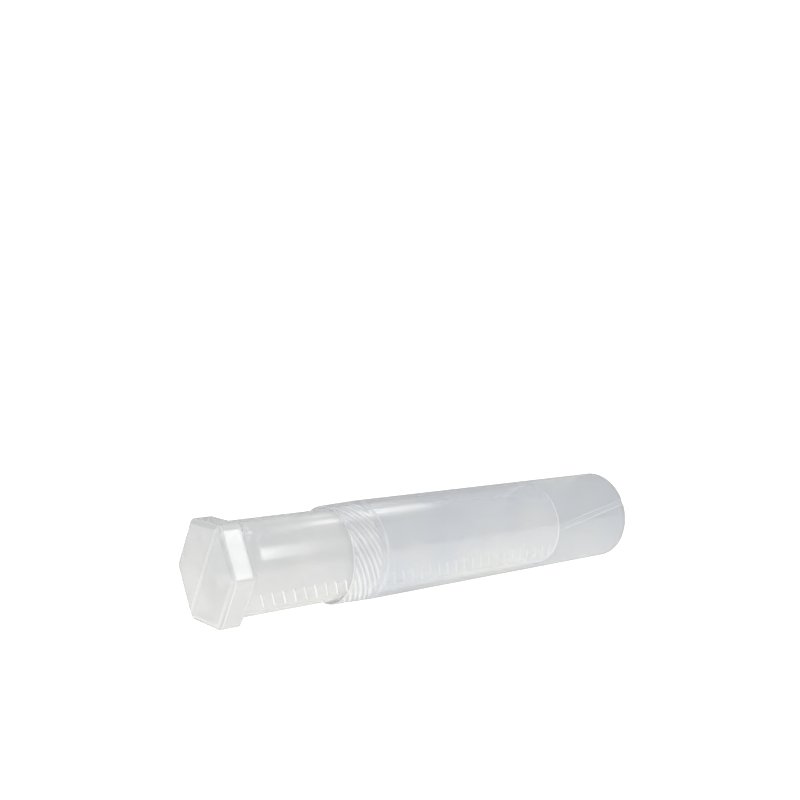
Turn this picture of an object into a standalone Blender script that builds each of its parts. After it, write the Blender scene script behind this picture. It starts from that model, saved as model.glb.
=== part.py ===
"""Telescopic packing tube, part extended and lying on its side.

A blow-moulded outer tube with a helically ribbed neck holds a toothed inner tube, which slides in
it and ends in a hollow hexagonal head. Metres, +Z up. The common axis runs along X with the head
towards -X, and the origin is under the middle of the whole length, on the surface it lies on.

Every section is a ring of points at a distance from the base's outer face (the "station") and at
angles about the axis, measured in the YZ plane from +Y towards +Z.
"""

from math import atan2, cos, hypot, pi, radians, sin

import bmesh
import bpy
from mathutils import Vector

# Outer tube: stations run from the base's outer face (0) to the mouth.
OUTER_RADIUS = 0.0300
OUTER_WALL = 0.0010
MOUTH = 0.2387
BASE_EDGE = 0.0005
END_WALL = 0.0020

# Neck: a plain ring groove, then helical ribs, then a plain collar at the mouth.
NECK_WALL = 0.0008
NECK_START = 0.2138
RING_GROOVE_END = 0.2188
RING_GROOVE_DEPTH = 0.0005
RIBS_END = 0.2376
MOUTH_RADIUS = 0.0291
RIB_DEPTH = 0.00055
RIB_STARTS = 12
RIB_PITCH = 0.0070
RIB_LEAD = RIB_STARTS * RIB_PITCH
RIB_VALLEY = 0.4  # share of a pitch that the valley between two ribs takes
RIB_FADE = 0.0012
RIB_BANDS = 5

# Inner tube: from its open end, inside the outer tube, to the head.
INNER_RADIUS = 0.0269
INNER_WALL = 0.0010
OPEN_END = 0.0658
TOOTH_ROWS = (radians(31.8), radians(211.8))
TOOTH_ARC = radians(22.5)
TOOTH_CREST_RADIUS = 0.0274
TOOTH_FOOT_WIDTH = 0.0015
TOOTH_CREST_WIDTH = 0.0007
TOOTH_PITCH = RIB_PITCH
TOOTH_COUNT = 33
FIRST_TOOTH = 0.0715
TOOTH_SEGMENTS = 3

# Head: a hexagon with rounded edges, flats at the top and bottom.
HEAD_HALF_FLATS = 0.0283
HEAD_EDGE_ROUND = 0.0050
HEAD_SIDE_START = 0.3055
HEAD_SIDE_END = 0.3167
HEAD_END = 0.3184
HEAD_BACK_CHAMFER = 0.0004
HEAD_SHOULDER_SLOPE = 0.8  # axial length of the shoulder over its rise
HEAD_END_INSET = 0.0029

# The pinch-off grooves across the two closed ends.
GROOVE_WIDTH = 0.0046
GROOVE_FLOOR = 0.0030
GROOVE_DEPTH = 0.0010
GROOVE_CUTTER_RISE = 0.0010
GROOVE_CUTTER_REACH = 1.5 * OUTER_RADIUS
BASE_GROOVE_ANGLE = radians(155)
HEAD_GROOVE_ANGLE = radians(120)

SEGMENTS = 60
STEP = 2 * pi / SEGMENTS
BASE_X = HEAD_END / 2
# a facet faces straight down, so the tube lies on a flat strip
AXIS_Z = OUTER_RADIUS * cos(STEP / 2)


def place(station, radius, angle):
    """A point of the part from its station, its distance from the axis and its angle."""
    return Vector((BASE_X - station, radius * cos(angle), AXIS_Z + radius * sin(angle)))


def ring(station, radius, turn=0.0):
    """A round section, turned about the axis, with a facet facing straight down."""
    angles = [(k + 0.5) * STEP + turn for k in range(SEGMENTS)]
    return [place(station, radius, a) for a in angles]


def closed_skin(rings):
    """One closed body: bands of quads between neighbouring rings and a flat cap at each end."""
    mesh = bmesh.new()
    loops = [[mesh.verts.new(point) for point in points] for points in rings]
    for near, far in zip(loops, loops[1:]):
        for k in range(SEGMENTS):
            after = (k + 1) % SEGMENTS
            mesh.faces.new((near[k], near[after], far[after], far[k]))
    mesh.faces.new(loops[0])
    mesh.faces.new(loops[-1])
    bmesh.ops.recalc_face_normals(mesh, faces=mesh.faces)
    return mesh


def neck_radius(station):
    """Radius over the ribs, which taper in a little from the body to the mouth."""
    share = (station - NECK_START) / (MOUTH - NECK_START)
    return OUTER_RADIUS + (MOUTH_RADIUS - OUTER_RADIUS) * share


def valley(column):
    """How deep a column of the neck's mesh lies between two ribs, from 0 on a rib to 1."""
    phase = column * RIB_STARTS / SEGMENTS
    reach = abs(phase - round(phase)) / RIB_VALLEY
    return cos(pi * reach) ** 2 if reach < 0.5 else 0.0


def rib_turn(station):
    """How far the ribs have turned about the axis at a station (right-handed along +X)."""
    return -2 * pi * (station - RING_GROOVE_END) / RIB_LEAD


def ribbed_ring(station, depth, wall=0.0):
    """A section of the neck; its columns follow the ribs round the axis."""
    turn = rib_turn(station)
    crest = neck_radius(station) - wall
    return [
        place(station, crest - depth * valley(k), (k + 0.5) * STEP + turn)
        for k in range(SEGMENTS)
    ]


def neck_rings(wall=0.0):
    """The neck's sections from the body to the mouth, on its outside or, with a wall, inside."""
    floor_start = NECK_START + RING_GROOVE_DEPTH
    floor_end = RING_GROOVE_END - RING_GROOVE_DEPTH
    rings = [
        ring(NECK_START, neck_radius(NECK_START) - wall),
        ring(floor_start, neck_radius(floor_start) - RING_GROOVE_DEPTH - wall),
        ring(floor_end, neck_radius(floor_end) - RING_GROOVE_DEPTH - wall),
        ribbed_ring(RING_GROOVE_END, 0.0, wall),
    ]
    start, end = RING_GROOVE_END + RIB_FADE, RIBS_END - RIB_FADE
    for band in range(RIB_BANDS + 1):
        station = start + (end - start) * band / RIB_BANDS
        rings.append(ribbed_ring(station, RIB_DEPTH, wall))
    rings.append(ribbed_ring(RIBS_END, 0.0, wall))
    rings.append(ring(MOUTH, MOUTH_RADIUS - wall, rib_turn(RIBS_END)))
    return rings


def outer_skin():
    """The outer tube before its base is grooved."""
    outside = [
        ring(0.0, OUTER_RADIUS - BASE_EDGE),
        ring(BASE_EDGE, OUTER_RADIUS),
        *neck_rings(),
    ]
    inside = [ring(END_WALL, OUTER_RADIUS - OUTER_WALL), *neck_rings(NECK_WALL)]
    return closed_skin(outside + inside[::-1])


def hexagon_radius(angle, inset=0.0):
    """Distance from the axis to the rounded hexagon, whose side planes are moved in by inset."""
    half = HEAD_HALF_FLATS - inset
    rounding = HEAD_EDGE_ROUND - inset
    # the angle from the middle of the nearest side, which is 60 degrees wide
    off = abs((angle - pi / 2 + pi / 6) % (pi / 3) - pi / 6)
    flat = half / cos(off)
    centre = (half - rounding) / cos(pi / 6)
    reach = centre * sin(pi / 6 - off)
    if reach > rounding:
        return flat
    rounded = centre * cos(pi / 6 - off) + (rounding**2 - reach**2) ** 0.5
    return min(flat, rounded)


def head_ring(station, inset=0.0):
    """A hexagonal section of the head."""
    return [place(station, hexagon_radius(k * STEP, inset), k * STEP) for k in range(SEGMENTS)]


def shoulder_ring(radius, inset=0.0):
    """The scalloped line where the head's sloping shoulder meets the round tube."""
    points = []
    for k in range(SEGMENTS):
        rise = hexagon_radius(k * STEP, inset) - radius
        points.append(place(HEAD_SIDE_START - HEAD_SHOULDER_SLOPE * rise, radius, k * STEP))
    return points


def tube_ring(station, radius):
    """A round section of the inner tube, in line with the head's points."""
    return [place(station, radius, k * STEP) for k in range(SEGMENTS)]


def inner_skin():
    """The inner tube and its head, before the teeth are added and the end is grooved."""
    bore = INNER_RADIUS - INNER_WALL
    outside = [
        head_ring(HEAD_END, HEAD_END_INSET),
        head_ring(HEAD_SIDE_END),
        head_ring(HEAD_SIDE_START + HEAD_BACK_CHAMFER),
        head_ring(HEAD_SIDE_START, HEAD_BACK_CHAMFER),
        shoulder_ring(INNER_RADIUS),
        tube_ring(OPEN_END, INNER_RADIUS),
    ]
    inside = [
        tube_ring(OPEN_END, bore),
        shoulder_ring(bore, INNER_WALL),
        head_ring(HEAD_SIDE_START + HEAD_BACK_CHAMFER, INNER_WALL),
        head_ring(HEAD_END - END_WALL, INNER_WALL + HEAD_BACK_CHAMFER),
    ]
    return closed_skin(outside + inside)


def add_tooth(mesh, station, middle):
    """One slanted tooth on the inner tube: a bar bent round the wall along the ribs' helix."""
    foot_radius = INNER_RADIUS - INNER_WALL / 2
    section = (
        (-TOOTH_FOOT_WIDTH / 2, foot_radius),
        (-TOOTH_CREST_WIDTH / 2, TOOTH_CREST_RADIUS),
        (TOOTH_CREST_WIDTH / 2, TOOTH_CREST_RADIUS),
        (TOOTH_FOOT_WIDTH / 2, foot_radius),
    )
    loops = []
    for k in range(TOOTH_SEGMENTS + 1):
        off = TOOTH_ARC * (k / TOOTH_SEGMENTS - 0.5)
        slant = -RIB_LEAD * off / (2 * pi)
        points = [place(station + slant + along, radius, middle + off) for along, radius in section]
        loops.append([mesh.verts.new(point) for point in points])
    for near, far in zip(loops, loops[1:]):
        for k in range(4):
            after = (k + 1) % 4
            mesh.faces.new((near[k], near[after], far[after], far[k]))
    mesh.faces.new(loops[0])
    mesh.faces.new(loops[-1])


def teeth_mesh():
    """Both rows of teeth."""
    mesh = bmesh.new()
    for middle in TOOTH_ROWS:
        for k in range(TOOTH_COUNT):
            add_tooth(mesh, FIRST_TOOTH + k * TOOTH_PITCH, middle)
    bmesh.ops.recalc_face_normals(mesh, faces=mesh.faces)
    return mesh


def groove_mesh(station, depth_sign, angle):
    """A long bar with sloping sides that cuts a groove into an end face along an angle."""
    mesh = bmesh.new()
    side_slope = (GROOVE_WIDTH - GROOVE_FLOOR) / 2 / GROOVE_DEPTH
    top = GROOVE_WIDTH / 2 + side_slope * GROOVE_CUTTER_RISE
    section = (
        (-GROOVE_FLOOR / 2, GROOVE_DEPTH),
        (GROOVE_FLOOR / 2, GROOVE_DEPTH),
        (top, -GROOVE_CUTTER_RISE),
        (-top, -GROOVE_CUTTER_RISE),
    )
    loops = []
    for reach in (-GROOVE_CUTTER_REACH, GROOVE_CUTTER_REACH):
        loop = []
        for across, depth in section:
            # the radius and angle of a point that lies reach along the groove and across beside it
            radius, turn = hypot(reach, across), atan2(across, reach)
            loop.append(mesh.verts.new(place(station + depth_sign * depth, radius, angle + turn)))
        loops.append(loop)
    for k in range(4):
        after = (k + 1) % 4
        mesh.faces.new((loops[0][k], loops[0][after], loops[1][after], loops[1][k]))
    mesh.faces.new(loops[0])
    mesh.faces.new(loops[1])
    bmesh.ops.recalc_face_normals(mesh, faces=mesh.faces)
    return mesh


def plastic(name, colour, alpha, roughness):
    """A translucent moulded plastic."""
    material = bpy.data.materials.new(name)
    material.use_nodes = True
    shader = material.node_tree.nodes["Principled BSDF"]
    shader.inputs["Base Color"].default_value = (*colour, 1.0)
    shader.inputs["Metallic"].default_value = 0.0
    shader.inputs["Roughness"].default_value = roughness
    shader.inputs["Alpha"].default_value = alpha
    material.diffuse_color = (*colour, alpha)
    return material


def add_object(name, mesh, material=None):
    """Turn a bmesh into an object that is shaded smooth, with its real edges kept sharp."""
    data = bpy.data.meshes.new(name)
    mesh.to_mesh(data)
    mesh.free()
    data.shade_smooth()
    data.set_sharp_from_angle(angle=radians(25))
    if material:
        data.materials.append(material)
    item = bpy.data.objects.new(name, data)
    bpy.context.collection.objects.link(item)
    return item


def combine(item, name, mesh, operation):
    """Cut a piece with, or join it to, a hidden helper shape."""
    helper = add_object(name, mesh)
    helper.hide_render = True
    helper.display_type = "WIRE"
    modifier = item.modifiers.new(name, "BOOLEAN")
    modifier.operation = operation
    modifier.solver = "EXACT"
    modifier.object = helper


def build_outer_tube():
    """The outer tube: base, body and ribbed neck in one moulding."""
    material = plastic("outer_plastic", (0.80, 0.83, 0.87), 0.45, 0.30)
    tube = add_object("outer_tube", outer_skin(), material)
    groove = groove_mesh(0.0, 1, BASE_GROOVE_ANGLE)
    combine(tube, "base_groove_cutter", groove, "DIFFERENCE")


def build_inner_tube():
    """The inner tube: open end, two rows of teeth and hexagonal head in one moulding."""
    material = plastic("inner_plastic", (0.86, 0.87, 0.88), 0.45, 0.30)
    tube = add_object("inner_tube", inner_skin(), material)
    combine(tube, "teeth_shape", teeth_mesh(), "UNION")
    groove = groove_mesh(HEAD_END, -1, HEAD_GROOVE_ANGLE)
    combine(tube, "head_groove_cutter", groove, "DIFFERENCE")


def main():
    for item in list(bpy.data.objects):
        bpy.data.objects.remove(item, do_unlink=True)
    build_outer_tube()
    build_inner_tube()


main()
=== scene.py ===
"""The looks of the telescopic packing tube: fine mouldings in milky see-through plastic.

Each moulding is a closed skin of rings. A ring lies at a station, its distance from the base's
outer face along the common axis. An angle is measured about the axis in the YZ plane, from +Y
towards +Z.
"""

from math import cos, pi, radians, sin

import bmesh
import bpy
import numpy as np
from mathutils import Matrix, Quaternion, Vector


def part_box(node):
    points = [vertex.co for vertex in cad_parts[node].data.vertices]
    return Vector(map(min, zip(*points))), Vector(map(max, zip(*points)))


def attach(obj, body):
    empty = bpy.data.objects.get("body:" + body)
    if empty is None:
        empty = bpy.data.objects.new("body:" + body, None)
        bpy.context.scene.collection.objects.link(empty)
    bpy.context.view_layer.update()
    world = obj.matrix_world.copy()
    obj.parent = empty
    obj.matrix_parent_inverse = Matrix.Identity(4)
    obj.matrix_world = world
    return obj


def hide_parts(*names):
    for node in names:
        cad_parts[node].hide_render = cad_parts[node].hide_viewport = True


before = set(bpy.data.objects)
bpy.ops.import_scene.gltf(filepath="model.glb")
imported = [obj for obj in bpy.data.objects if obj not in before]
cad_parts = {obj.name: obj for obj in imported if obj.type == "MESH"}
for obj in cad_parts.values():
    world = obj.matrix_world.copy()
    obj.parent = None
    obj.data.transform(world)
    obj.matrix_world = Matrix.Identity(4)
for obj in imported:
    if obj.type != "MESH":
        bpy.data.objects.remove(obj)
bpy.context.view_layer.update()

# The CAD model's boxes give the places of everything else.
outer_low, outer_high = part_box("outer_tube")
inner_low, inner_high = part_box("inner_tube")
BASE_X = outer_high.x
AXIS_Z = (outer_low.z + outer_high.z) / 2
OUTER_RADIUS = (outer_high.z - outer_low.z) / 2
MOUTH = BASE_X - outer_low.x
OPEN_END = BASE_X - inner_high.x
HEAD_END = BASE_X - inner_low.x
HEAD_HALF_FLATS = (inner_high.z - inner_low.z) / 2

# Outer tube
WALL = 0.0010  # of the inner tube too
NECK_WALL = 0.0008
BASE_ROUND = 0.0006
BASE_MARGIN = 0.0006  # of the base's flat, to its rounded edge
BORE_ROUND = 0.0015
BORE_MARGIN = 0.0010  # of the bore's flat end, to its rounded edge
BODY_START = BASE_ROUND + 0.0010
LIP_ROUND = 0.0003
NECK_START = MOUTH - 0.0249
RING_GROOVE_END = MOUTH - 0.0199
RING_GROOVE_DEPTH = 0.0005
RING_GROOVE_SIDE = 0.0008
RIBS_END = MOUTH - 0.0011
MOUTH_RADIUS = 0.0291
RIB_DEPTH = 0.00055
RIB_STARTS = 12
RIB_PITCH = 0.0070
RIB_LEAD = RIB_STARTS * RIB_PITCH  # along the axis for a whole turn
RIB_VALLEY = 0.4  # share of a pitch that the valley between two ribs takes
RIB_TURN = radians(3)  # angle of a valley at the end of the ring groove
RIB_FADE = 0.0012

# Inner tube
INNER_RADIUS = 0.0269
RIM_BAND = 0.0008  # whiter band behind the rim, partly whiter plastic and partly painted highlight
TOOTH_ROWS = (radians(31.8), radians(211.8))
TOOTH_HALF_ARC = radians(11.25)
TOOTH_ARC_FADE = radians(1.6)
TOOTH_HEIGHT = 0.0005
TOOTH_HALF_FOOT = 0.00080
TOOTH_HALF_CREST = 0.00025
TOOTH_CUTS = (-1.0, -0.65, -0.25, 0.25, 0.65, 1.0)  # rings across a tooth, in half feet
TOOTH_COUNT = 33
FIRST_TOOTH = OPEN_END + 0.0057
PLAIN_START = FIRST_TOOTH - 0.0020  # plain wall from here to the rim
PLAIN_MARGIN = 0.0004  # between the plain wall's last ring and the rim
SQUARE_END = OPEN_END + 0.0010  # rings are square to the axis as far as here
SLANT_HOLD = radians(13)  # rings slant with the teeth this far either side of a row
SLANT_RETURN = radians(40)  # and are square to the axis again this far from it

# Head
HEAD_EDGE_ROUND = 0.0050
HEAD_LEAST_ROUND = 0.0012
HEAD_SIDE_START = HEAD_END - 0.0129
HEAD_SIDE_END = HEAD_END - 0.0017
HEAD_END_INSET = 0.0029
HEAD_SHOULDER_SLOPE = 0.8
HEAD_SHOULDER_FLARE = 0.35  # share by which the shoulder runs longer towards its foot

# Pinch-off grooves across the closed ends
GROOVE_HALF_WIDTH = 0.0023
GROOVE_HALF_FLOOR = 0.0015
GROOVE_DEPTH = 0.0010
GROOVE_EDGE = 0.0003
BASE_GROOVE_ANGLE = radians(155)
HEAD_GROOVE_ANGLE = radians(120)

# Fineness of the skins
OUTER_COLUMNS = 288
INNER_COLUMNS = 204
BODY_RINGS = 24
RING_GROOVE_RINGS = 21
RIB_RINGS = 76
BASE_CORNER_STEPS = 6
LIP_STEPS = 4
SHOULDER_RINGS = 10
PLAIN_RINGS = 4
GROOVE_CUTS = 13
SAME_PLACE = 1e-7  # points nearer than this are one
SHARP_ANGLE = radians(40)  # between faces that meet in an edge, not a smooth bend

# Share of the light that a surface stops, at its end nearer the base and its end nearer the head
# The haze thins towards the base, which makes that end look darker: painted shade.
OUTER_TUBE_HAZE = (0.20, 0.24)
INNER_TUBE_HAZE = (0.32, 0.38)
INNER_BORE_HAZE = (0.21, 0.21)
WHITENING_HAZE = 0.30  # how much denser the haze is where the layer whitens: on whiter plastic and on painted highlights
HAZE_LAYER = "haze"

# How much whiter than plain wall a place is, or below 0 how much deeper. The rims, lip and teeth
# are partly whiter plastic and partly painted highlight. The lines on the ribs, the ring groove
# and the pinch-off grooves are painted highlights and painted shade, and the head's end face has
# painted light at its bottom and painted shade at its top.
WHITENESS_AND_PAINTED_LIGHT_LAYER = "edge"
# Whiter plastic on the base's rounded edge, with a painted highlight.
BASE_EDGE_WHITE_AND_HIGHLIGHT = 0.1
# Whiter plastic on the mouth's lip, with painted light that lifts the shade beneath it.
LIP_WHITE_AND_PAINTED_LIGHT = 0.6
# Whiter plastic on the inner tube's rim, with a painted highlight.
RIM_WHITE_AND_HIGHLIGHT = 1.4
TOOTH_WHITE_AND_HIGHLIGHT = (2.0, 0.7)  # of each row: whiter plastic on the crests and a painted highlight, stronger on the far row
END_FACE_PAINTED_LIGHT_AND_SHADE = (0.6, -0.45)  # painted light at the head's bottom and painted shade at its top
BASE_GROOVE_HIGHLIGHTS = (0.25, 0.8)  # painted highlights on the lower and the upper slope
BASE_BORE_GROOVE_HIGHLIGHTS = (0.4, 1.2)
# Painted shade on the lower slope and a painted highlight on the upper one.
HEAD_GROOVE_SHADE_AND_HIGHLIGHT = (-0.35, 0.2)
HEAD_BORE_GROOVE_SHADE_AND_HIGHLIGHT = (-0.2, 0.1)
PAINTED_SLOPE_LINE = (0.0001, 0.0006)  # how far from a slope's middle its painted light fades and is gone
GROOVE_FLOOR_SHARE = 1 / 3  # share of a slope's painted light on all of its half of the groove

# Painted lines: strength, middle, and how far from it the line starts to fade and is gone. Above
# 0 they are painted highlights and below 0 painted shade. The first three lie across a pitch of
# the ribs, and the last along the tube.
RIB_FACE_HIGHLIGHT = (1.0, 0.20, 0.02, 0.11)
RIB_BACK_HIGHLIGHT = (0.7, -0.27, 0.04, 0.18)
VALLEY_SHADE = (-0.80, -0.02, 0.02, 0.14)
RING_GROOVE_HIGHLIGHT = (0.45, NECK_START + 0.0003, 0.0002, 0.0007)

# Plastic
# Colour of the whiter plastic and of the painted highlights
WHITE_AND_HIGHLIGHT_COLOUR = (0.97, 0.97, 0.96)
STREAK_STRETCH = (3, 60, 60)
STREAK_SCALE = 1.0
STREAK_DEPTH = 0.00006
CLOUD_STRETCH = (1, 1, 1)
CLOUD_SCALE = 26.0
RIPPLE_STRETCH = (0.6, 1, 1)
RIPPLE_SCALE = 420.0
RIPPLE_DEPTH = 0.00003

# Camera, placed from the middle of the base, on the axis
SENSOR_WIDTH = 36
LENS = 46.34
CAMERA_OFFSET = Vector((-0.58155, -0.49434, 0.12387))
CAMERA_HEADING = radians(51.078)
CAMERA_DIP = radians(3.087)
CAMERA_ROLL = radians(0.155)

# Stage: how bright it is seen directly, seen through the plastic, and as a light on the object
FLOOR_RADIUS = 12.0
FLOOR_COLOURS = ((0.58, 0.58, 0.56), (0.80, 0.79, 0.78))  # through the plastic, and otherwise
FLOOR_GLOW = (0.80, 0.0, 0.68)
SURROUND_GLOW = (1.15, 0.29, 0.35)


def smooth_step(low, high, value):
    """0 below low, 1 above high, and a soft rise between them."""
    t = np.clip((value - low) / (high - low), 0.0, 1.0)
    return t * t * (3 - 2 * t)


def line(value, strength, middle, near, far):
    """A soft line: its strength near the middle, and 0 far from it."""
    return strength * (1 - smooth_step(near, far, np.abs(value - middle)))


def place(station, radius, angle):
    """Points of the object, as rows of x, y, z."""
    station, radius, angle = np.broadcast_arrays(station, radius, angle)
    x = BASE_X - station
    return np.stack([x, radius * np.cos(angle), AXIS_Z + radius * np.sin(angle)], axis=-1)


def column_angles(count):
    """Evenly spaced angles about the axis, one for each column of a skin."""
    return np.arange(count) * 2 * pi / count


def ring(station, radius, angles, edge=0.0):
    """One ring of a surface: its points, and how much whiter than plain wall each is, with
    painted highlights above 0 and painted shade below.
    """
    points = place(station, radius, angles)
    return points, np.broadcast_to(edge, len(points))


def cup(rings, haze):
    """A surface of quads through the rings, closed by a face across the first one.

    The haze changes along it, from haze[0] nearest the base to haze[1] nearest the head.
    """
    mesh = bmesh.new()
    whiteness_and_light_layer = mesh.verts.layers.float.new(WHITENESS_AND_PAINTED_LIGHT_LAYER)
    haze_layer = mesh.verts.layers.float.new(HAZE_LAYER)
    loops = []
    for points, edge in rings:
        loops.append([mesh.verts.new(point) for point in points])
        for vert, value in zip(loops[-1], edge):
            vert[whiteness_and_light_layer] = value
    for near, far in zip(loops, loops[1:]):
        for k in range(len(near)):
            after = (k + 1) % len(near)
            mesh.faces.new((near[k], near[after], far[after], far[k]))
    mesh.faces.new(loops[0])
    stations = [BASE_X - vert.co.x for vert in mesh.verts]
    ends = (min(stations), max(stations))
    for vert, value in zip(mesh.verts, np.interp(stations, ends, haze)):
        vert[haze_layer] = value
    return mesh


def shell(outside, inside):
    """Join two cups, whose last rings coincide, into one closed skin."""
    data = bpy.data.meshes.new("inside")
    inside.to_mesh(data)
    inside.free()
    outside.from_mesh(data)
    bpy.data.meshes.remove(data)
    bmesh.ops.remove_doubles(outside, verts=outside.verts, dist=SAME_PLACE)
    bmesh.ops.recalc_face_normals(outside, faces=outside.faces)
    return outside


def arc(centre, radius, start, end, steps):
    """Points (station, distance from the axis) of a round corner of a profile."""
    points = []
    for k in range(steps + 1):
        angle = radians(start + (end - start) * k / steps)
        points.append((centre[0] + radius * cos(angle), centre[1] + radius * sin(angle)))
    return points


def groove_depth(distance):
    """Depth of a pinch-off groove at a distance from its middle line."""
    return GROOVE_DEPTH * (1 - smooth_step(GROOVE_HALF_FLOOR, GROOVE_HALF_WIDTH, distance))


def press_groove(mesh, angle, end, inward, light):
    """Press a groove across a cup's end face, whose station is end.

    Inward is the way along the axis into the tube, 1 or -1, and light is the painted light on the
    lower and the upper slope of the groove: above 0 a painted highlight, below 0 painted shade.
    """
    layer = mesh.verts.layers.float[WHITENESS_AND_PAINTED_LIGHT_LAYER]
    across = Vector((0, -sin(angle), cos(angle)))
    middle = Vector((BASE_X - end, 0, AXIS_Z))
    outermost = GROOVE_HALF_WIDTH + GROOVE_EDGE
    innermost = GROOVE_HALF_FLOOR - GROOVE_EDGE
    for offset in np.linspace(innermost, outermost, GROOVE_CUTS):
        for side in (-1, 1):
            near = [
                face
                for face in mesh.faces
                if min(abs(BASE_X - vert.co.x - end) for vert in face.verts) < GROOVE_DEPTH
            ]
            edges = {edge for face in near for edge in face.edges}
            verts = {vert for face in near for vert in face.verts}
            bmesh.ops.bisect_plane(
                mesh,
                geom=[*near, *edges, *verts],
                plane_co=middle + across * side * offset,
                plane_no=across,
                dist=SAME_PLACE,
            )
    for vert in mesh.verts:
        station = BASE_X - vert.co.x
        if abs(station - end) > GROOVE_DEPTH:
            continue
        offset = (vert.co - middle).dot(across)
        distance = abs(offset)
        floor = end + inward * float(groove_depth(distance))
        if (station - floor) * inward < 0:
            vert.co.x = BASE_X - floor
            painted_slope_light = light[int(offset * across.z > 0)]
            slope_middle = (GROOVE_HALF_FLOOR + GROOVE_HALF_WIDTH) / 2
            vert[layer] += float(line(distance, painted_slope_light, slope_middle, *PAINTED_SLOPE_LINE))
            if distance < GROOVE_HALF_WIDTH:
                vert[layer] += painted_slope_light * GROOVE_FLOOR_SHARE


def paint_light_on_end_face(mesh, end):
    """Paint light on the head's end face, whose station is end: lighter at its bottom, with
    painted shade at its top.
    """
    layer = mesh.verts.layers.float[WHITENESS_AND_PAINTED_LIGHT_LAYER]
    for vert in mesh.verts:
        if BASE_X - vert.co.x > end - 1.01 * GROOVE_DEPTH:
            height = (vert.co.z - inner_low.z) / (inner_high.z - inner_low.z)
            vert[layer] += float(np.interp(height, (0, 1), END_FACE_PAINTED_LIGHT_AND_SHADE))


def piece(name, mesh, body, node, material):
    """Make an object from a bmesh that rides on a body and stands for its CAD node."""
    data = bpy.data.meshes.new(name)
    mesh.to_mesh(data)
    mesh.free()
    data.shade_smooth()
    data.set_sharp_from_angle(angle=SHARP_ANGLE)
    data.materials.append(material)
    item = bpy.data.objects.new(name, data)
    bpy.context.scene.collection.objects.link(item)
    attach(item, body)
    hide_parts(node)


# Outer tube


def neck_radius(station):
    """Radius over the ribs, which taper in a little from the body to the mouth."""
    share = np.clip((station - NECK_START) / (MOUTH - NECK_START), 0, 1)
    return OUTER_RADIUS + (MOUTH_RADIUS - OUTER_RADIUS) * share


def rib_phase(station, angle):
    """Place between two ribs: 0 in the middle of a valley, -0.5 and 0.5 on the ribs beside it."""
    turn = RIB_TURN - 2 * pi * (station - RING_GROOVE_END) / RIB_LEAD
    return ((angle - turn) * RIB_STARTS / (2 * pi) + 0.5) % 1.0 - 0.5


def rib_fade(station):
    """1 along the ribs, 0 outside, with a short run-out at both ends."""
    rise = smooth_step(RING_GROOVE_END, RING_GROOVE_END + RIB_FADE, station)
    return rise * (1 - smooth_step(RIBS_END - RIB_FADE, RIBS_END, station))


def neck_dip(station, angle):
    """How far the neck's surface lies under the line over its ribs."""
    ring_groove = smooth_step(NECK_START, NECK_START + RING_GROOVE_SIDE, station)
    ring_groove *= 1 - smooth_step(RING_GROOVE_END - RING_GROOVE_SIDE, RING_GROOVE_END, station)
    reach = np.clip(np.abs(rib_phase(station, angle)) / RIB_VALLEY, 0, 0.5)
    valley = np.cos(pi * reach) ** 2
    return RING_GROOVE_DEPTH * ring_groove + RIB_DEPTH * valley * rib_fade(station)


def neck_highlights_and_shade(station, angle):
    """Painted highlights on the ribs' faces and backs, painted shade in their valleys, and a
    painted highlight on the ring groove's side.
    """
    phase = rib_phase(station, angle)
    ribs = line(phase, *RIB_FACE_HIGHLIGHT) + line(phase, *RIB_BACK_HIGHLIGHT) + line(phase, *VALLEY_SHADE)
    return np.maximum(ribs * rib_fade(station), line(station, *RING_GROOVE_HIGHLIGHT))


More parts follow.
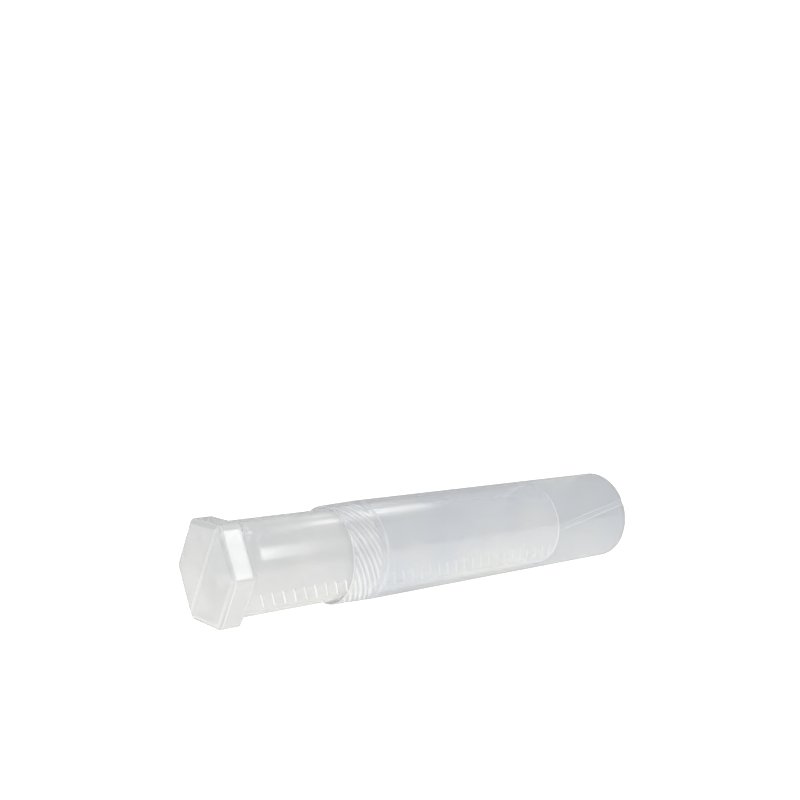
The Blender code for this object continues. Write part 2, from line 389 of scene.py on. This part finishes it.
def outer_mesh():
    """The outer tube: base, body, ring groove, helical ribs and rounded mouth."""
    angles = column_angles(OUTER_COLUMNS)
    neck = np.concatenate(
        [
            np.linspace(NECK_START - RING_GROOVE_SIDE, RING_GROOVE_END, RING_GROOVE_RINGS),
            np.linspace(RING_GROOVE_END, RIBS_END, RIB_RINGS)[1:],
        ]
    )
    body = np.linspace(BODY_START, neck[0], BODY_RINGS)[:-1]
    lip_middle = ring(MOUTH, MOUTH_RADIUS - NECK_WALL / 2, angles, LIP_WHITE_AND_PAINTED_LIGHT)

    outside = [ring(0, OUTER_RADIUS - BASE_ROUND - BASE_MARGIN, angles)]
    corner = (BASE_ROUND, OUTER_RADIUS - BASE_ROUND)
    for station, radius in arc(corner, BASE_ROUND, 180, 90, BASE_CORNER_STEPS):
        outside.append(ring(station, radius, angles, BASE_EDGE_WHITE_AND_HIGHLIGHT))
    for station in body:
        outside.append(ring(station, OUTER_RADIUS, angles))
    for station in neck:
        radius = neck_radius(station) - neck_dip(station, angles)
        outside.append(ring(station, radius, angles, neck_highlights_and_shade(station, angles)))
    lip = (MOUTH - LIP_ROUND, MOUTH_RADIUS - LIP_ROUND)
    for station, radius in arc(lip, LIP_ROUND, 90, 0, LIP_STEPS):
        outside.append(ring(station, radius, angles, LIP_WHITE_AND_PAINTED_LIGHT))
    outside.append(lip_middle)

    bore = OUTER_RADIUS - WALL
    inside = [ring(WALL, bore - BORE_ROUND - BORE_MARGIN, angles)]
    corner = (WALL + BORE_ROUND, bore - BORE_ROUND)
    for station, radius in arc(corner, BORE_ROUND, 180, 90, BASE_CORNER_STEPS):
        inside.append(ring(station, radius, angles))
    for station in body[3::3]:  # every third is enough for the plain bore
        inside.append(ring(station, bore, angles))
    for station in neck:
        wall = WALL + (NECK_WALL - WALL) * smooth_step(NECK_START, RING_GROOVE_END, station)
        radius = neck_radius(station) - neck_dip(station, angles) - wall
        inside.append(ring(station, radius, angles, neck_highlights_and_shade(station, angles)))
    lip = (MOUTH - LIP_ROUND, MOUTH_RADIUS - NECK_WALL + LIP_ROUND)
    for station, radius in arc(lip, LIP_ROUND, -90, 0, LIP_STEPS):
        inside.append(ring(station, radius, angles, LIP_WHITE_AND_PAINTED_LIGHT))
    inside.append(lip_middle)

    outside, inside = cup(outside, OUTER_TUBE_HAZE), cup(inside, OUTER_TUBE_HAZE)
    press_groove(outside, BASE_GROOVE_ANGLE, 0.0, 1, BASE_GROOVE_HIGHLIGHTS)
    press_groove(inside, BASE_GROOVE_ANGLE, WALL, 1, BASE_BORE_GROOVE_HIGHLIGHTS)
    return shell(outside, inside)


# Inner tube


def hexagon_radius(angle, inset):
    """Distance from the axis to the rounded hexagon, whose sides are moved in by inset."""
    half = HEAD_HALF_FLATS - inset
    rounding = max(HEAD_EDGE_ROUND - inset, HEAD_LEAST_ROUND)
    off_flat = np.abs((angle - pi / 2 + pi / 6) % (pi / 3) - pi / 6)
    centre = (half - rounding) / cos(pi / 6)
    off_corner = pi / 6 - off_flat
    reach = np.minimum(centre * np.sin(off_corner), rounding)
    rounded = centre * np.cos(off_corner) + np.sqrt(rounding**2 - reach**2)
    on_flat = np.tan(off_flat) < centre * sin(pi / 6) / half
    return np.where(on_flat, half / np.cos(off_flat), rounded)


def slant(angle):
    """How far a ring is shifted along the axis at each angle to run along the teeth."""
    shift = np.zeros_like(angle)
    for middle in TOOTH_ROWS:
        off = (angle - middle + pi) % (2 * pi) - pi
        hold = 1 - smooth_step(SLANT_HOLD, SLANT_RETURN, np.abs(off))
        shift -= RIB_LEAD * off / (2 * pi) * hold
    return shift


def slanted(station, angles):
    """Stations of a ring that slants along the teeth, but is square to the axis by the rim."""
    share = smooth_step(SQUARE_END, FIRST_TOOTH - TOOTH_HALF_FOOT, station)
    return station + slant(angles) * share


def tooth_windows(angle):
    """For each row of teeth: 1 within it, 0 outside, with a soft end to each tooth."""
    windows = []
    for middle in TOOTH_ROWS:
        off = np.abs((angle - middle + pi) % (2 * pi) - pi)
        windows.append(1 - smooth_step(TOOTH_HALF_ARC - TOOTH_ARC_FADE, TOOTH_HALF_ARC, off))
    return windows


def tooth_rings(angles, wall):
    """Rings from the head's side of the last tooth to the first, slanted along the teeth."""
    windows = tooth_windows(angles)
    window = sum(windows)
    # The teeth are whiter: partly whiter plastic on the crests and partly a painted highlight,
    # stronger on the far row.
    light = sum(row * value for row, value in zip(windows, TOOTH_WHITE_AND_HIGHLIGHT))
    offsets = np.array(TOOTH_CUTS) * TOOTH_HALF_FOOT
    rings = []
    for tooth in range(TOOTH_COUNT - 1, -1, -1):
        for offset in offsets[::-1]:
            station = FIRST_TOOTH + tooth * RIB_PITCH + offset
            height = 1 - smooth_step(TOOTH_HALF_CREST, TOOTH_HALF_FOOT, abs(offset))
            radius = INNER_RADIUS - wall + TOOTH_HEIGHT * height * window
            rings.append(ring(slanted(station, angles), radius, angles, height * light))
    return rings


def head_profile(wall):
    """The head's section from its end face to its shoulder: station, inset, and how much whiter
    each edge is, partly whiter plastic and partly painted highlight.
    """
    end, front, back = HEAD_END - wall, HEAD_SIDE_END - wall / 2, HEAD_SIDE_START
    inset = HEAD_END_INSET + wall * 0.8
    # Round the end face's edge, down the chamfer and round its outer edge
    chamfer = [
        (end, inset + 0.0008, 0.0),
        (end, inset + 0.0002, 0.15),
        (end - 0.00004, inset - 0.0002, 0.2),
        (end - 0.00020, inset - 0.0005, 0.1),
        (end - 0.00040, inset - 0.0009, 0.0),
        (front + 0.00040, wall + 0.0008, 0.0),
        (front + 0.00015, wall + 0.00030, 0.25),
        (front, wall + 0.00010, 0.5),
        (front - 0.00025, wall, 0.4),
        (front - 0.00060, wall, 0.0),
    ]
    sides = [(s, wall, 0.0) for s in np.linspace(front - 0.0020, back + 0.0008, 5)]
    # Round the back edge and on to the shoulder
    shoulder = [
        (back + 0.0003, wall, 0.3),
        (back, wall + 0.00010, 0.7),
        (back - 0.0001, wall + 0.00035, 0.3),
        (back - 0.0004, wall + 0.00070, 0.0),
    ]
    return chamfer + sides + shoulder


def head_rings(angles, wall):
    """The head's rings, then the shoulder's, down to the round tube."""
    profile = head_profile(wall)
    rings = [ring(s, hexagon_radius(angles, inset), angles, edge) for s, inset, edge in profile]
    last_station, last_inset, _ = profile[-1]
    foot_radius = INNER_RADIUS - wall
    start = hexagon_radius(angles, last_inset)
    for k in range(1, SHOULDER_RINGS + 1):
        share = k / SHOULDER_RINGS
        radius = start + (foot_radius - start) * share
        slope = HEAD_SHOULDER_SLOPE * (1 + HEAD_SHOULDER_FLARE * share)
        rings.append(ring(last_station - slope * (start - radius), radius, angles))
    return rings


def inner_mesh():
    """The inner tube: hexagonal head, plain wall with two rows of teeth, open end."""
    angles = column_angles(INNER_COLUMNS)
    bore = INNER_RADIUS - WALL
    lip_middle = ring(OPEN_END, INNER_RADIUS - WALL / 2, angles, RIM_WHITE_AND_HIGHLIGHT)

    outside = head_rings(angles, 0.0) + tooth_rings(angles, 0.0)
    for station in np.linspace(PLAIN_START, OPEN_END + RIM_BAND + PLAIN_MARGIN, PLAIN_RINGS):
        outside.append(ring(slanted(station, angles), INNER_RADIUS, angles))
    outside.append(ring(OPEN_END + RIM_BAND, INNER_RADIUS, angles, RIM_WHITE_AND_HIGHLIGHT))
    lip = (OPEN_END + LIP_ROUND, INNER_RADIUS - LIP_ROUND)
    for station, radius in arc(lip, LIP_ROUND, 90, 180, LIP_STEPS):
        outside.append(ring(station, radius, angles, RIM_WHITE_AND_HIGHLIGHT))
    outside.append(lip_middle)

    inside = head_rings(angles, WALL) + tooth_rings(angles, WALL)
    for station in np.linspace(PLAIN_START, OPEN_END + LIP_ROUND + PLAIN_MARGIN, PLAIN_RINGS):
        inside.append(ring(slanted(station, angles), bore, angles))
    lip = (OPEN_END + LIP_ROUND, bore + LIP_ROUND)
    for station, radius in arc(lip, LIP_ROUND, -90, -180, LIP_STEPS):
        inside.append(ring(station, radius, angles, RIM_WHITE_AND_HIGHLIGHT))
    inside.append(lip_middle)

    outside, inside = cup(outside, INNER_TUBE_HAZE), cup(inside, INNER_BORE_HAZE)
    press_groove(outside, HEAD_GROOVE_ANGLE, HEAD_END, -1, HEAD_GROOVE_SHADE_AND_HIGHLIGHT)
    press_groove(inside, HEAD_GROOVE_ANGLE, HEAD_END - WALL, -1, HEAD_BORE_GROOVE_SHADE_AND_HIGHLIGHT)
    paint_light_on_end_face(outside, HEAD_END)
    return shell(outside, inside)


# Material


def node(tree, kind, **inputs):
    """Add a shader node and set its inputs, whose names have _ for a space."""
    made = tree.nodes.new(kind)
    for name, value in inputs.items():
        made.inputs[name.replace("_", " ")].default_value = value
    return made


def noise(tree, coordinates, stretch, scale):
    """Noise whose pattern is stretched along the tube's axis."""
    mapping = node(tree, "ShaderNodeMapping", Scale=stretch)
    tree.links.new(coordinates, mapping.inputs["Vector"])
    texture = node(tree, "ShaderNodeTexNoise", Scale=scale, Detail=2.0)
    tree.links.new(mapping.outputs["Vector"], texture.inputs["Vector"])
    return texture.outputs["Fac"]


def spread(tree, value, low, high):
    """Map noise, which keeps near its middle, onto low to high."""
    ranged = node(tree, "ShaderNodeMapRange", From_Min=0.2, From_Max=0.8, To_Min=low, To_Max=high)
    ranged.interpolation_type = "SMOOTHSTEP"
    tree.links.new(value, ranged.inputs["Value"])
    return ranged.outputs["Result"]


def feed(tree, socket, value):
    """Link a socket to an output, or set it to a plain value."""
    if isinstance(value, bpy.types.NodeSocket):
        tree.links.new(value, socket)
    else:
        socket.default_value = value


def calculate(tree, operation, first, second):
    """Add or multiply two values."""
    made = tree.nodes.new("ShaderNodeMath")
    made.operation = operation
    feed(tree, made.inputs[0], first)
    feed(tree, made.inputs[1], second)
    return made.outputs["Value"]


def blend(tree, factor, first, second):
    """Mix two colours."""
    made = tree.nodes.new("ShaderNodeMix")
    made.data_type = "RGBA"
    feed(tree, made.inputs["Factor"], factor)
    feed(tree, made.inputs["A"], first)
    feed(tree, made.inputs["B"], second)
    return made.outputs["Result"]


def milky_plastic(name, cool, warm, painted_shade_colour, roughness, mottle):
    """Natural blow-moulded plastic: hazy, with flow streaks, clouds, a ripple, and whiter edges
    that are partly the plastic's own and partly painted highlight.

    Its colour goes from cool to warm with the clouds, to white where the layer adds whiteness and
    painted highlight, and to painted_shade_colour where the layer paints shade. Mottle is the
    share by which the clouds change the haze.
    """
    material = bpy.data.materials.new(name)
    material.use_nodes = True
    tree = material.node_tree
    shader = tree.nodes["Principled BSDF"]
    where = node(tree, "ShaderNodeTexCoord").outputs["Object"]
    edge = tree.nodes.new("ShaderNodeAttribute")
    edge.attribute_name = WHITENESS_AND_PAINTED_LIGHT_LAYER
    haze = tree.nodes.new("ShaderNodeAttribute")
    haze.attribute_name = HAZE_LAYER

    streaks = noise(tree, where, STREAK_STRETCH, STREAK_SCALE)
    clouds = noise(tree, where, CLOUD_STRETCH, CLOUD_SCALE)
    ripple = noise(tree, where, RIPPLE_STRETCH, RIPPLE_SCALE)
    # How far the layer is above 0, whiter plastic and painted highlight, and how far it is below
    # 0, painted shade
    whitening_and_highlight = node(tree, "ShaderNodeMapRange", From_Max=2, To_Max=2)
    tree.links.new(edge.outputs["Fac"], whitening_and_highlight.inputs["Value"])
    painted_shade_share = node(tree, "ShaderNodeMapRange", From_Max=-1)
    tree.links.new(edge.outputs["Fac"], painted_shade_share.inputs["Value"])

    colour = blend(tree, spread(tree, clouds, 0, 1), (*cool, 1), (*warm, 1))
    colour = blend(tree, whitening_and_highlight.outputs["Result"], colour, (*WHITE_AND_HIGHLIGHT_COLOUR, 1))
    colour = blend(tree, painted_shade_share.outputs["Result"], colour, (*painted_shade_colour, 1))
    tree.links.new(colour, shader.inputs["Base Color"])

    cloudiness = spread(tree, clouds, 1 - mottle, 1 + mottle)
    unevenness = calculate(tree, "ADD", cloudiness, spread(tree, streaks, -0.03, 0.03))
    density = calculate(tree, "MULTIPLY", haze.outputs["Fac"], unevenness)
    extra = calculate(tree, "MULTIPLY", whitening_and_highlight.outputs["Result"], WHITENING_HAZE)
    tree.links.new(calculate(tree, "ADD", density, extra), shader.inputs["Alpha"])
    rough = spread(tree, clouds, roughness * 0.85, roughness * 1.2)
    tree.links.new(rough, shader.inputs["Roughness"])

    streak_bump = node(tree, "ShaderNodeBump", Strength=0.12, Distance=STREAK_DEPTH)
    tree.links.new(streaks, streak_bump.inputs["Height"])
    ripple_bump = node(tree, "ShaderNodeBump", Strength=0.2, Distance=RIPPLE_DEPTH)
    tree.links.new(ripple, ripple_bump.inputs["Height"])
    tree.links.new(streak_bump.outputs["Normal"], ripple_bump.inputs["Normal"])
    tree.links.new(ripple_bump.outputs["Normal"], shader.inputs["Normal"])

    shader.inputs["IOR"].default_value = 1.5
    shader.inputs["Specular IOR Level"].default_value = 1.0
    return material


# Camera, floor and lights


def add_camera():
    """The camera at the photograph's viewing angle."""
    data = bpy.data.cameras.new("camera")
    data.sensor_width = SENSOR_WIDTH
    data.lens = LENS
    data.clip_start = 0.01
    data.clip_end = 50
    camera = bpy.data.objects.new("camera", data)
    bpy.context.scene.collection.objects.link(camera)
    camera.location = Vector((BASE_X, 0, AXIS_Z)) + CAMERA_OFFSET
    level = cos(CAMERA_DIP)
    aim = Vector((level * cos(CAMERA_HEADING), level * sin(CAMERA_HEADING), -sin(CAMERA_DIP)))
    roll = Quaternion((0, 0, 1), CAMERA_ROLL)
    camera.rotation_mode = "QUATERNION"
    camera.rotation_quaternion = aim.to_track_quat("-Z", "Y") @ roll
    bpy.context.scene.camera = camera


def stage_level(tree, direct, through, lighting):
    """A number for the stage: seen directly, seen through the plastic, or lighting the object."""
    path = node(tree, "ShaderNodeLightPath")
    behind = node(tree, "ShaderNodeMapRange", To_Min=direct, To_Max=through)
    tree.links.new(path.outputs["Transparent Depth"], behind.inputs["Value"])
    level = node(tree, "ShaderNodeMix", A=lighting)
    tree.links.new(path.outputs["Is Camera Ray"], level.inputs["Factor"])
    tree.links.new(behind.outputs["Result"], level.inputs["B"])
    return level.outputs["Result"]


def add_floor():
    """A plain white floor, round and wide, that glows a little so that shadows stay faint."""
    mesh = bmesh.new()
    bmesh.ops.create_circle(mesh, cap_ends=True, segments=96, radius=FLOOR_RADIUS)
    data = bpy.data.meshes.new("floor")
    mesh.to_mesh(data)
    mesh.free()
    material = bpy.data.materials.new("floor_white")
    material.cycles.emission_sampling = "NONE"
    material.use_nodes = True
    tree = material.node_tree
    shader = tree.nodes["Principled BSDF"]
    through, otherwise = FLOOR_COLOURS
    colour = blend(tree, stage_level(tree, 1, 0, 1), (*through, 1), (*otherwise, 1))
    tree.links.new(colour, shader.inputs["Base Color"])
    shader.inputs["Roughness"].default_value = 0.8
    shader.inputs["Specular IOR Level"].default_value = 0.1
    shader.inputs["Emission Color"].default_value = (1.0, 0.985, 0.95, 1)
    tree.links.new(stage_level(tree, *FLOOR_GLOW), shader.inputs["Emission Strength"])
    data.materials.append(material)
    floor = bpy.data.objects.new("floor", data)
    bpy.context.scene.collection.objects.link(floor)


def add_light(name, position, size, power, colour=(1, 1, 1), target=None):
    """A soft rectangular studio light that squarely faces the tube's axis, or a target."""
    data = bpy.data.lights.new(name, "AREA")
    data.shape = "RECTANGLE"
    data.size, data.size_y = size
    data.energy = power
    data.color = colour
    light = bpy.data.objects.new(name, data)
    bpy.context.scene.collection.objects.link(light)
    light.location = position
    aim = Vector(target or (position[0], 0, AXIS_Z)) - Vector(position)
    light.rotation_mode = "QUATERNION"
    light.rotation_quaternion = aim.to_track_quat("-Z", "Y")
    light.visible_camera = False


def add_world():
    """A white surround behind the stage; the light that it gives is dimmer and cooler."""
    world = bpy.data.worlds.new("studio")
    world.use_nodes = True
    tree = world.node_tree
    background = tree.nodes["Background"]
    background.inputs["Color"].default_value = (0.94, 0.97, 1.0, 1)
    tree.links.new(stage_level(tree, *SURROUND_GLOW), background.inputs["Strength"])
    bpy.context.scene.world = world


def add_lights():
    """Soft boxes above and high at the right, fills at the front left and before the head,
    and upright windows at the front right and back right that streak the walls.
    """
    add_light("overhead", (0.0, 0.2, 1.6), (1.2, 1.2), 5.6)
    add_light("front_fill", (-0.45, -0.72, 0.3), (0.5, 0.4), 1.15)
    add_light("front_window", (0.45, -0.84, 0.69), (0.15, 0.55), 2.4)
    add_light("back_strip", (0.505, 0.696, 0.78), (0.05, 0.36), 0.07, target=(0.39, 0, 0.05))
    add_light("back_window", (0.67, 0.66, 0.85), (0.18, 0.28), 0.45)
    add_light("top_strip", (0.70, 0.25, 1.03), (0.26, 0.26), 1.7)
    add_light(
        "end_fill",
        (-0.8, -0.15, 0.12),
        (0.3, 0.2),
        0.5,
        colour=(1.0, 0.97, 0.92),
        target=(-0.159, 0, 0.02),
    )
    add_world()
    bpy.context.scene.view_settings.view_transform = "Standard"
    bpy.context.scene.cycles.transparent_max_bounces = 32  # a line of sight crosses many walls


outer_plastic = milky_plastic(
    "outer_plastic",
    cool=(0.71, 0.75, 0.83),
    warm=(0.84, 0.85, 0.85),
    painted_shade_colour=(0.50, 0.55, 0.62),
    roughness=0.17,
    mottle=0.12,
)
inner_plastic = milky_plastic(
    "inner_plastic",
    cool=(0.85, 0.865, 0.885),
    warm=(0.91, 0.905, 0.88),
    painted_shade_colour=(0.62, 0.66, 0.72),
    roughness=0.16,
    mottle=0.06,
)
piece("outer_tube_shell", outer_mesh(), "outer_tube", "outer_tube", outer_plastic)
piece("inner_tube_shell", inner_mesh(), "inner_tube", "inner_tube", inner_plastic)
add_camera()
add_floor()
add_lights()
